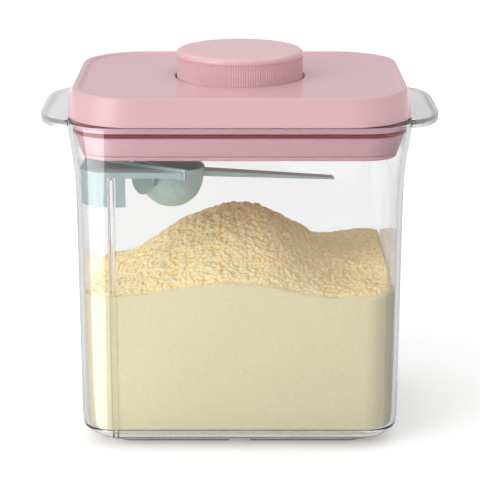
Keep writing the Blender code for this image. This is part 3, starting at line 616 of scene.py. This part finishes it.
def grip_rings(side):
    """A grip as rings of its plan outline: over the top, down the lip, and back under the plate.

    The plan is straight along the wall at x = root and has two oval outer corners. Each row gives
    how far the outline is drawn in, its root, how much its corners' half axes shrink, and how far
    it lies below the top.
    """
    rows = [(2.6, 82.9, 2.6, 0.0), (1.0, 82.9, 1.0, 0.0), (0.4, 82.9, 0.4, 0.15),
            (0.1, 82.9, 0.1, 0.55), (0.0, 82.9, 0.0, 1.1), (0.0, 82.9, 0.0, 3.5),
            (0.2, 82.9, 0.2, 4.1), (0.7, 82.9, 0.7, 4.4), (2.0, 84.3, 3.6, 4.4),
            (2.55, 84.5, 4.15, 4.15), (2.8, 84.7, 4.4, 3.6), (2.9, 84.75, 4.5, 3.1),
            (3.4, 84.9, 5.0, 2.8), (5.0, 84.9, 6.6, 2.8)]
    drawn_in, root, shrink, below = np.array(rows).T
    reach, half = GRIP_REACH - drawn_in, GRIP_HALF - drawn_in
    oval = np.maximum(GRIP_CORNER - shrink[:, None], 3.0)
    turn = np.linspace(-np.pi / 2, 0.0, 21)
    lower = np.stack([(reach - oval[:, 0])[:, None] + oval[:, :1] * np.cos(turn),
                      (oval[:, 1] - half)[:, None] + oval[:, 1:] * np.sin(turn)], axis=-1)
    upper = lower[:, ::-1] * (1.0, -1.0)
    along = np.linspace(0.06, 0.94, 9)[None, :, None]
    outer = lower[:, -1:] + (upper[:, :1] - lower[:, -1:]) * along
    first = np.stack([root, -half], axis=-1)[:, None]
    last = np.stack([root, half], axis=-1)[:, None]
    near = np.concatenate([first, (first + lower[:, :1]) / 2], axis=1)
    far = np.concatenate([(last + upper[:, -1:]) / 2, last], axis=1)
    plan = np.concatenate([near, lower, outer, upper, far], axis=1)
    plan[..., 0] *= side
    return at_levels(plan, GRIP_TOP - below)


RIB_X, RIB_HALF, RIB_ROOT, RIB_CENTRE = -62.4, 1.5, -62.6, -60.1
NOTCH_HALF, NOTCH_TOP = 5.3, 1.6
rib_turn = np.linspace(0.0, np.pi, 13)
rib_round = np.column_stack([np.cos(rib_turn), np.sin(rib_turn)])
rib_levels = np.array([10.5, 139.6, 140.1, 140.6, 140.95, 141.1])
rib_shares = np.array([1.0, 1.0, 0.95, 0.77, 0.45, 0.15])
rib_grid = at_levels(np.stack([np.vstack([
    [(RIB_X - RIB_HALF * share, RIB_ROOT), (RIB_X + RIB_HALF * share, RIB_ROOT)],
    (RIB_X, RIB_CENTRE) + RIB_HALF * share * rib_round])
    for share in rib_shares]), rib_levels)
foot_notch = block((-NOTCH_HALF, -90, -1), (NOTCH_HALF, 90, NOTCH_TOP))
for name, made, operation in (("grip_right", skin(grip_rings(1)), "UNION"),
                              ("grip_left", skin(grip_rings(-1)), "UNION"),
                              ("rib", skin(rib_grid), "UNION"),
                              ("foot_notch", foot_notch, "DIFFERENCE")):
    body_mesh = combined(body_mesh, make_mesh(name, [made]), operation)
body_mesh.name = "clear_body"
make_piece("clear_body", body_mesh, CLEAR, "container", ["container_body"], 32.0)

# %% [markdown]
# ## Milk powder
# Powder poured into a box heaps at its angle of repose, about thirty degrees, keeps a flat face
# against the walls, and clumps into crumbs on its free surface. The surface is a height over the
# plan: a tilted base plus a broad rounded cone, plus smooth random bumps and layers of rounded
# crumbs, which fade out at the wall. The height of the fine crumbs, less a share of the heap, is
# kept as an attribute for painted shade: the hollows between the crumbs are painted a deeper gold
# than their tops, more so on the heap. A second attribute is 0 where the powder is packed against
# the wall and 1 on its free surface.


# %% Layered bumps
def bumps(x, y, size, seed):
    """Smooth random heights from -1 to 1: random values on a square lattice of that size, blended
    across each cell by 3t^2 - 2t^3 along x and y."""
    lattice = np.random.default_rng(seed).uniform(-1.0, 1.0, (256, 256))
    u, v = x / size + 128.0, y / size + 128.0
    i, j = np.floor(u).astype(int), np.floor(v).astype(int)
    s, t = u - i, v - j
    s, t = s * s * (3 - 2 * s), t * t * (3 - 2 * t)
    i, j = i % 256, j % 256
    near, far = (i + 1) % 256, (j + 1) % 256
    return ((lattice[i, j] * (1 - s) + lattice[near, j] * s) * (1 - t)
            + (lattice[i, far] * (1 - s) + lattice[near, far] * s) * t)


def grains(x, y, size, seed):
    """Rounded crumbs: on a lattice of that size every cell holds one crumb, at a random place and
    of a random radius. The height is the largest of sqrt(radius^2 - distance^2) over the nine
    nearest crumbs, and 0 between them."""
    random = np.random.default_rng(seed)
    jitter = random.uniform(0.1, 0.9, (256, 256, 2))
    radius = random.uniform(0.45, 0.85, (256, 256))
    u, v = x / size + 128.0, y / size + 128.0
    i, j = np.floor(u).astype(int), np.floor(v).astype(int)
    best = np.zeros_like(u)
    for di in (-1, 0, 1):
        for dj in (-1, 0, 1):
            a, b = (i + di) % 256, (j + dj) % 256
            gap2 = (i + di + jitter[a, b, 0] - u) ** 2 + (j + dj + jitter[a, b, 1] - v) ** 2
            best = np.maximum(best, np.sqrt(np.maximum(radius[a, b] ** 2 - gap2, 0.0)))
    return best * size


print("bumps and grains ready")

# %% Powder height
PLAN_HALF_X, PLAN_HALF_Y = 78.0, 61.0
FRONT_LEFT, FRONT_RIGHT, BACK_LEFT, BACK_RIGHT = 82.0, 79.5, 67.5, 83.5
SHOULDER = 4.0
HEAP_X, HEAP_Y, HEAP_HEIGHT = -2.0, 2.0, 32.0
CRUMBLY_REACH = 32.0


def powder_height(x, y):
    """(smooth height, lumps and crumbs, crumbs alone less a share of the heap) over the plan.

    Smooth: a base that is blended between its four corners, plus the heap's height times half of
    (1 + cos(pi r)), with r the distance from the heap's middle over its reach on that side.
    """
    right = np.clip((x + PLAN_HALF_X) / (2 * PLAN_HALF_X), 0.0, 1.0)
    back = np.clip((y + PLAN_HALF_Y) / (2 * PLAN_HALF_Y), 0.0, 1.0)
    base = ((FRONT_LEFT * (1 - right) + FRONT_RIGHT * right) * (1 - back)
            + (BACK_LEFT * (1 - right) + BACK_RIGHT * right) * back)
    base = base + SHOULDER * np.exp(-((x - PLAN_HALF_X) / 22.0) ** 2 - ((y + 8.0) / 30.0) ** 2)
    from_x, from_y = x - HEAP_X, y - HEAP_Y
    reach_x = np.where(from_x < 0.0, 84.0, 72.0)
    reach_y = np.where(from_y < 0.0, 90.0, 64.0)
    r = np.clip(np.hypot(from_x / reach_x, from_y / reach_y), 0.0, 1.0)
    base = base + HEAP_HEIGHT * 0.5 * (1.0 + np.cos(np.pi * r))
    heap = np.exp(-(from_x / CRUMBLY_REACH) ** 2 - (from_y / CRUMBLY_REACH) ** 2)
    broad = 1.2 * bumps(x, y, 17.0, 1) + 0.7 * bumps(x, y, 8.0, 2)
    lumps = heap * grains(x, y, 7.5, 6)
    clumps = (0.15 + 0.85 * heap) * grains(x + 0.4 * lumps, y, 4.2, 3)
    crumbs = 0.5 * grains(x + 0.3 * clumps, y, 2.2, 4) + 0.5 * grains(x, y + clumps, 1.45, 5)
    # The third value drives the painted shade of the hollows; the share of the heap gives the heap
    # more of it.
    return base + broad - 1.2 * heap, 0.25 * lumps + 0.5 * clumps + crumbs, crumbs - 0.45 * heap


print("a heap of", HEAP_HEIGHT, "mm on a base of", BACK_LEFT, "to", BACK_RIGHT, "mm")

# %% Powder piece
POWDER_HALF, POWDER_CORNER, POWDER_LOW = 77.75, 14.5, 60.0
ROWS_STRAIGHT, ROWS_CORNER, COLUMNS = 190, 36, 290
powder_side = flowing([(66.6, 5.1, 12.2), (70.6, 5.8, 13.3), (74.0, 7.4, 14.2), (76.2, 10.1, 14.4),
                       (77.3, 14.6, 14.3), (77.6, 34.0, 14.4), (POWDER_HALF, POWDER_LOW, 14.5)], 2)


def plan_grid(half, corner):
    """A grid over a rounded rectangle, (row, column, xy).

    Rows step evenly between the corners and by equal angles round them, with
    y = centre + corner sin a, and each row's half width is centre + corner cos a.
    """
    depth = half - DEPTH_LESS
    turn = np.linspace(0.0, np.pi / 2, ROWS_CORNER + 1)[1:]
    middle = np.linspace(-1.0, 1.0, ROWS_STRAIGHT) * (depth - corner)
    end_y = depth - corner + corner * np.sin(turn)
    end_x = half - corner + corner * np.cos(turn)
    y = np.concatenate([-end_y[::-1], middle, end_y])
    half_width = np.concatenate([end_x[::-1], np.full(ROWS_STRAIGHT, half), end_x])
    x = half_width[:, None] * np.linspace(-1.0, 1.0, COLUMNS)
    return np.stack([x, np.broadcast_to(y[:, None], x.shape)], axis=-1)


def edge_of(grid):
    """The outer points of a grid, anticlockwise."""
    return np.concatenate([grid[0, :-1], grid[:-1, -1], grid[-1, :0:-1], grid[:0:-1, 0]])


def powder_skin():
    """The powder's closed skin: a grid over the heap, and rings down the wall from its edge.

    The crumbs grow from nothing over the first millimetres from the wall, because the wall holds
    the powder smooth.
    """
    plan = plan_grid(POWDER_HALF, POWDER_CORNER)
    x, y = plan[..., 0], plan[..., 1]
    smooth, crumbs, fine = powder_height(x, y)
    corner_x = np.maximum(np.abs(x) - (POWDER_HALF - POWDER_CORNER), 0.0)
    corner_y = np.maximum(np.abs(y) - (POWDER_HALF - DEPTH_LESS - POWDER_CORNER), 0.0)
    inward = POWDER_CORNER - np.hypot(corner_x, corner_y)
    fade = np.clip((inward - 0.2) / 2.2, 0.0, 1.0)
    top = np.concatenate([plan, (smooth + crumbs * fade)[..., None]], axis=-1)
    rim = edge_of(top)
    rings = [np.column_stack([edge_of(plan_grid(half, corner)), np.full(len(rim), z)])
             for half, z, corner in powder_side]
    rises = [np.column_stack([rim[:, :2], POWDER_LOW * (1 - t) + rim[:, 2] * t])
             for t in (0.4, 0.75, 0.95, 1.0)]
    points, quads, triangles = skin(np.stack(rings + rises))

    # The heap's grid takes the place of the upper cap, and shares its edge with the last ring.
    on_bottom = (triangles == len(points) - 2).any(axis=1)
    start = len(points)
    index = np.arange(x.size).reshape(x.shape) + start
    quads = np.vstack([quads, np.stack([index[:-1, :-1], index[:-1, 1:], index[1:, 1:],
                                        index[1:, :-1]], axis=-1).reshape(-1, 4)])
    rim_index = edge_of(index[..., None])[:, 0]
    last_ring = np.arange(start - 2 - len(rim), start - 2)
    merged = np.arange(start + x.size)
    merged[last_ring] = rim_index
    quads, triangles = merged[quads], merged[triangles[on_bottom]]
    points = np.vstack([points, top.reshape(-1, 3)])
    crumb = np.concatenate([np.zeros(start), (fine * fade).ravel()])
    free = np.concatenate([np.zeros(start), fade.ravel()])
    used = np.unique(np.concatenate([quads.ravel(), triangles.ravel()]))
    renumber = np.zeros(len(points), int)
    renumber[used] = np.arange(len(used))
    return (points[used], renumber[quads], renumber[triangles]), crumb[used], free[used]


powder_parts, crumb_height, free_share = powder_skin()
powder_mesh = make_mesh("milk_powder", [powder_parts])
for label, values in (("crumb", crumb_height), ("free", free_share)):
    powder_mesh.attributes.new(label, "FLOAT", "POINT").data.foreach_set("value", values)
print("powder", len(powder_mesh.polygons), "faces, top at", round(powder_parts[0][:, 2].max(), 1))

# %% Powder finish
PEBBLE_SCALE, PATCH_SCALE, SPECKLE_SCALE = 620.0, 300.0, 900.0
DEPTH_START, CRUMB_SHARE, PATCH_SHARE, PEBBLE_SHARE = 0.62, 0.5, 1.4, 1.1
HOLLOW_SHADE_SHARE, SPECKLE_SHARE = 0.9, 0.22

# The third colour is painted shade, a deeper gold for the hollows between crumbs.
POWDER_GRAIN, entry, leave = new_group(
    "powder_grain",
    [("Packed", COLOUR, (0.72, 0.65, 0.43, 1.0)), ("Loose", COLOUR, (0.97, 0.90, 0.60, 1.0)),
     ("Hollow Shade", COLOUR, (0.95, 0.64, 0.18, 1.0))],
    [("Colour", COLOUR), ("Roughness", FLOAT), ("Height", FLOAT)])
where = POWDER_GRAIN.nodes.new("ShaderNodeTexCoord").outputs["Object"]
crumb = POWDER_GRAIN.nodes.new("ShaderNodeAttribute")
crumb.attribute_name = "crumb"
free = POWDER_GRAIN.nodes.new("ShaderNodeAttribute")
free.attribute_name = "free"
speckle = noise(POWDER_GRAIN, where, SPECKLE_SCALE, 4.0)
patch = noise(POWDER_GRAIN, where, PATCH_SCALE, 3.0)
pebbles = POWDER_GRAIN.nodes.new("ShaderNodeTexVoronoi")
pebbles.inputs["Scale"].default_value = PEBBLE_SCALE
POWDER_GRAIN.links.new(where, pebbles.inputs["Vector"])
pebble = pebbles.outputs["Distance"]


def powder_maths(operation, *values):
    """A Math node in the powder's group."""
    return maths(POWDER_GRAIN, operation, *values)


# Depth is 0 on top of a crumb and 1 in a hollow, with random patches and pebbles of tone added; it
# sets how much painted shade the colour gets.
depth = powder_maths("SUBTRACT", DEPTH_START,
                     powder_maths("MULTIPLY", crumb.outputs["Fac"], CRUMB_SHARE))
depth = powder_maths("MULTIPLY_ADD", powder_maths("SUBTRACT", patch, 0.5), PATCH_SHARE, depth)
depth = powder_maths("MULTIPLY_ADD", powder_maths("SUBTRACT", pebble, 0.3), PEBBLE_SHARE, depth)
depth = powder_maths("MINIMUM", powder_maths("MAXIMUM", depth, 0.0), 1.0)
loose_and_hollow_shade = blended(POWDER_GRAIN, powder_maths("MULTIPLY", depth, HOLLOW_SHADE_SHARE),
                entry.outputs["Loose"], entry.outputs["Hollow Shade"])
mixed = blended(POWDER_GRAIN, free.outputs["Fac"], entry.outputs["Packed"], loose_and_hollow_shade)
lift = powder_maths("MULTIPLY_ADD", powder_maths("SUBTRACT", speckle, 0.5), SPECKLE_SHARE, 1.0)
POWDER_GRAIN.links.new(tinted(POWDER_GRAIN, mixed, lift), leave.inputs["Colour"])
POWDER_GRAIN.links.new(powder_maths("MULTIPLY_ADD", patch, 0.1, 0.85), leave.inputs["Roughness"])
rough = powder_maths("MULTIPLY_ADD", pebble, -1.2, powder_maths("MULTIPLY", speckle, 0.5))
loose_only = powder_maths("MULTIPLY_ADD", free.outputs["Fac"], 0.95, 0.05)
POWDER_GRAIN.links.new(powder_maths("MULTIPLY", rough, loose_only), leave.inputs["Height"])
POWDER = material_from("milk_powder_grain", POWDER_GRAIN, {}, relief=0.00045, specular=0.15)
make_piece("milk_powder_heap", powder_mesh, POWDER, "container", ["milk_powder"],
           180.0)

# %% [markdown]
# ## Lid
# The lid's top is a shallow tray: a flat face, a soft raised rim, and a skirt that leans out to
# the body. It is a ring of rings, from the button's hole out over the rim, down the skirt and back
# under the top, so it is one closed wall of even thickness. Each row gives a ring's half width,
# its half depth, its corner radius and its height.

# %% Lid cover
HOLE = 33.1
top_rows = flowing([(76.6, 58.4, 25.8, 180.2), (77.8, 59.6, 27.0, 180.2),
                    (78.3, 60.1, 27.5, 180.32), (79.0, 60.8, 28.2, 180.85),
                    (79.5, 61.3, 28.7, 181.15), (80.3, 62.1, 29.5, 181.2),
                    (81.6, 63.5, 30.7, 181.2), (82.15, 64.1, 31.1, 181.0),
                    (82.5, 64.5, 31.35, 180.55), (82.75, 64.8, 31.45, 179.7),
                    (83.2, 65.35, 31.6, 177.6), (83.8, 66.1, 31.75, 173.8),
                    (84.35, 66.8, 31.9, 170.0)], 4)
lid_rows = np.vstack([top_rows, [(84.62, 67.15, 31.98, 168.2), (84.7, 67.28, 32.0, 167.7),
                                 (84.55, 67.1, 31.85, 167.38), (84.2, 66.7, 31.5, 167.3),
                                 (82.9, 65.5, 30.2, 167.3), (82.6, 65.2, 29.9, 167.6),
                                 (81.4, 63.7, 28.7, 177.0), (80.9, 63.1, 28.1, 178.0),
                                 (80.0, 62.2, 27.2, 178.3), (74.0, 56.0, 22.0, 178.3)]])
lid_rings = rounded_rings(*lid_rows.T)
hole_top = circle_rings([HOLE, HOLE + 0.12, HOLE + 0.45, HOLE + 1.6],
                        [179.85, 180.18, 180.3, 180.3])
hole_under = circle_rings([HOLE + 1.5, HOLE, HOLE], [178.3, 178.3, 178.6])
lid_grid = np.concatenate([hole_top, lid_rings, hole_under])


def tube_skin(centre, outer, inner, low, high, steps=20):
    """A screw post: a closed wall between two circles, turned about its own upright axis."""
    rows = np.array([(outer, low), (outer, high), (inner, high), (inner, low)])
    angle = np.linspace(0.0, 2 * np.pi, steps, endpoint=False)
    x = centre[0] + rows[:, :1] * np.cos(angle)
    y = centre[1] + rows[:, :1] * np.sin(angle)
    return skin(np.stack([x, y, np.broadcast_to(rows[:, 1:], x.shape)], axis=-1), loop=True)


POST_RADIUS, POST_BORE = 3.4, 1.3
posts = [tube_skin((x, y), POST_RADIUS, POST_BORE, 161.7, 178.5)
         for x in (58.0, -58.0) for y in (40.0, -40.0)]
lid_mesh = make_mesh("lid_cover", [skin(lid_grid, loop=True)] + posts)
make_piece("lid_tray", lid_mesh, PINK_PLASTIC, "lid", ["lid_cover"])

# %% [markdown]
# ## Knob
# The button is a turned shape whose side carries about a hundred and sixty fine upright flutes, so
# that wet fingers can turn it. The flutes are in the mesh: the radius is the profile's radius less
# a small cosine ripple, which fades out at the smooth bands above and below.

# %% Button cap
FLUTES, FLUTE_DEPTH, POINTS_PER_FLUTE = 165, 0.3, 6
KNOB_ROWS = np.array([
    (12.0, 193.9, 0.0), (24.0, 193.9, 0.0), (29.4, 193.9, 0.0),
    (30.3, 193.82, 0.0), (31.1, 193.55, 0.0), (31.75, 193.05, 0.0), (32.1, 192.4, 0.0),
    (32.2, 191.7, 0.0), (32.2, 191.1, 0.0), (32.15, 190.8, 0.35), (32.05, 190.5, 1.0),
    (32.05, 187.0, 1.0), (32.05, 183.0, 1.0), (32.05, 179.5, 1.0), (32.1, 179.2, 0.4),
    (32.2, 178.9, 0.0), (32.2, 177.95, 0.0), (32.4, 177.9, 0.0), (34.3, 177.9, 0.0),
    (34.6, 177.6, 0.0), (34.6, 176.7, 0.0), (34.3, 176.4, 0.0), (30.3, 176.4, 0.0),
    (30.0, 176.7, 0.0), (30.0, 190.2, 0.0), (29.4, 191.2, 0.0), (28.6, 191.7, 0.0),
    (10.0, 191.7, 0.0)])


def knob_skin():
    """The knob: at angle a its radius is the profile's less depth (1 - cos(165 a)) / 2, with the
    depth of the flutes times the share in the profile's third column."""
    angle = np.linspace(0.0, 2 * np.pi, FLUTES * POINTS_PER_FLUTE, endpoint=False)
    ripple = 0.5 * (1.0 - np.cos(FLUTES * angle))
    radius = KNOB_ROWS[:, :1] - FLUTE_DEPTH * KNOB_ROWS[:, 2:] * ripple
    grid = np.stack([radius * np.cos(angle), radius * np.sin(angle),
                     np.broadcast_to(KNOB_ROWS[:, 1:2], radius.shape)], axis=-1)
    return skin(grid)


cap_posts = [tube_skin((x, 0.0), POST_RADIUS, POST_BORE, 178.0, 191.9) for x in (18.0, -18.0)]
make_piece("knob", make_mesh("knob", [knob_skin()] + cap_posts), KNOB_PAINTED_LIGHTER, "button",
           ["button_cap"])

# %% [markdown]
# ## Plug and seal
# Under the lid a tapered plug drops into the mouth. Near its top a groove holds a red silicone
# ring, and a separate plate closes it below, so a fine line runs round it just above its lower
# edge. The windows in the plug let the four slides through to the ring.

# %% Plug and seal
DECK_HOLE = 26.2
WINDOW_LOW, WINDOW_HIGH = 161.75, 163.45
plug_rows = np.array([
    (79.4, 62.1, 27.0, 169.0), (81.2, 63.9, 28.8, 169.0), (81.4, 64.1, 29.0, 168.8),
    (81.4, 64.1, 29.0, 166.9), (81.4, 64.1, 20.0, 166.5), (81.4, 64.1, 20.0, 163.9),
    (81.2, 63.9, 19.8, 163.7), (79.4, 62.1, 18.0, 163.7), (79.4, 62.1, 18.0, 161.6),
    (80.6, 63.3, 19.2, 161.6), (80.78, 63.45, 19.35, 161.4), (79.2, 61.76, 17.95, 156.4),
    (77.95, 60.39, 16.8, 152.2), (77.75, 60.19, 16.6, 151.95), (77.5, 59.9, 16.4, 151.9),
    (75.4, 57.8, 14.3, 151.9), (76.6, 59.0, 15.5, 159.7)])
deck_rows = np.array([(77.5, 60.2, 16.1, 161.4), (77.5, 60.2, 16.1, 164.0),
                      (79.4, 62.1, 20.0, 165.2)])
deck_hole = circle_rings([DECK_HOLE, DECK_HOLE], [159.7, 161.4])
plug_grid = np.concatenate([rounded_rings(*plug_rows.T), deck_hole, rounded_rings(*deck_rows.T)])
plug_mesh = make_mesh("plug", [skin(plug_grid, loop=True)])
for name, low, high in (("side_windows", (-90, -27, WINDOW_LOW), (90, 27, WINDOW_HIGH)),
                        ("front_windows", (-43, -80, WINDOW_LOW), (43, 80, WINDOW_HIGH))):
    plug_mesh = combined(plug_mesh, make_mesh(name, [block(low, high)]), "DIFFERENCE")
make_piece("plug", plug_mesh, PLUG_PLASTIC, "lid", ["lid_base"])

seal_rows = np.array([(79.7, 62.7, 18.3, 163.35), (79.8, 62.8, 18.4, 163.4),
                      (81.15, 64.15, 19.8, 163.4), (81.47, 64.47, 20.12, 163.2),
                      (81.55, 64.55, 20.2, 162.85), (81.55, 64.55, 20.2, 162.45),
                      (81.47, 64.47, 20.12, 162.1), (81.15, 64.15, 19.8, 161.9),
                      (79.8, 62.8, 18.4, 161.9), (79.7, 62.7, 18.3, 161.95)])
make_piece("seal_ring", make_mesh("seal_ring", [skin(rounded_rings(*seal_rows.T), loop=True)]),
           RED_SILICONE, "lid", ["seal_gasket"])

# %% [markdown]
# ## Return spring
# The spring is a round wire wound round the middle of the lid, drawn here as a tube along a helix
# in place of the CAD solid. Like the CAD solid it is rigid: it can't shorten as the button goes
# down, and the plunger would cut through it.

# %% Return spring
SPRING_RADIUS, SPRING_WIRE, SPRING_TURNS, STEPS_PER_TURN = 7.0, 0.5, 5.5, 32
spring_low, spring_high = (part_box("main_spring")[end][2] / MM for end in (0, 1))


def spring_skin():
    """A tube along a helix: the point at angle b round the wire is the helix's point plus the
    wire's radius times (cos b along the helix's radius, sin b across the wire)."""
    share = np.linspace(0.0, 1.0, int(SPRING_TURNS * STEPS_PER_TURN) + 1)[:, None]
    turn = 2 * np.pi * SPRING_TURNS * share
    rise = spring_high - spring_low - 2 * SPRING_WIRE
    radial = np.concatenate([np.cos(turn), np.sin(turn), np.zeros_like(turn)], axis=1)
    along = np.concatenate([-SPRING_RADIUS * np.sin(turn), SPRING_RADIUS * np.cos(turn),
                            np.full_like(turn, rise / (2 * np.pi * SPRING_TURNS))], axis=1)
    across = np.cross(along / np.linalg.norm(along, axis=1, keepdims=True), radial)
    centre = SPRING_RADIUS * radial + (0.0, 0.0, 1.0) * (spring_low + SPRING_WIRE + rise * share)
    round_wire = np.linspace(0.0, 2 * np.pi, 12, endpoint=False)[None, :, None]
    return skin(centre[:, None] + SPRING_WIRE * (np.cos(round_wire) * radial[:, None]
                                                 + np.sin(round_wire) * across[:, None]))


return_spring = make_piece("return_spring", make_mesh("return_spring", [spring_skin()]),
                           SPRING_STEEL, "lid", ["main_spring"])
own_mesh(return_spring)

# %% [markdown]
# ## Small pieces that keep their CAD shape
# The slides, the plunger, the latch and the screws sit inside the closed lid, and their
# moulded or turned shapes are already right, so they only get their finishes.

# %% Finishes on CAD nodes
# The leveller's mint is painted shade and the scoop's mint is painted light.
KEPT = {LEVELLER_MINT_PAINTED_SHADE: ["leveller"],
        SCOOP_MINT_PAINTED_LIGHT: ["scoop"],
        PLUG_PLASTIC: ["lid_bottom_cover"],
        WHITE_PLASTIC: ["button_plunger", "seal_slide_right", "seal_slide_back", "seal_slide_left",
                        "seal_slide_front", "latch_arm"],
        SPRING_STEEL: ["latch_pin", "plunger_screw_1", "plunger_screw_2",
                       "lid_screw_1", "lid_screw_2", "lid_screw_3", "lid_screw_4"]}
for finish, names in KEPT.items():
    for name in names:
        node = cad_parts[name]
        node.data.materials.clear()
        node.data.materials.append(finish)
print("finished", sum(len(names) for names in KEPT.values()), "CAD nodes")
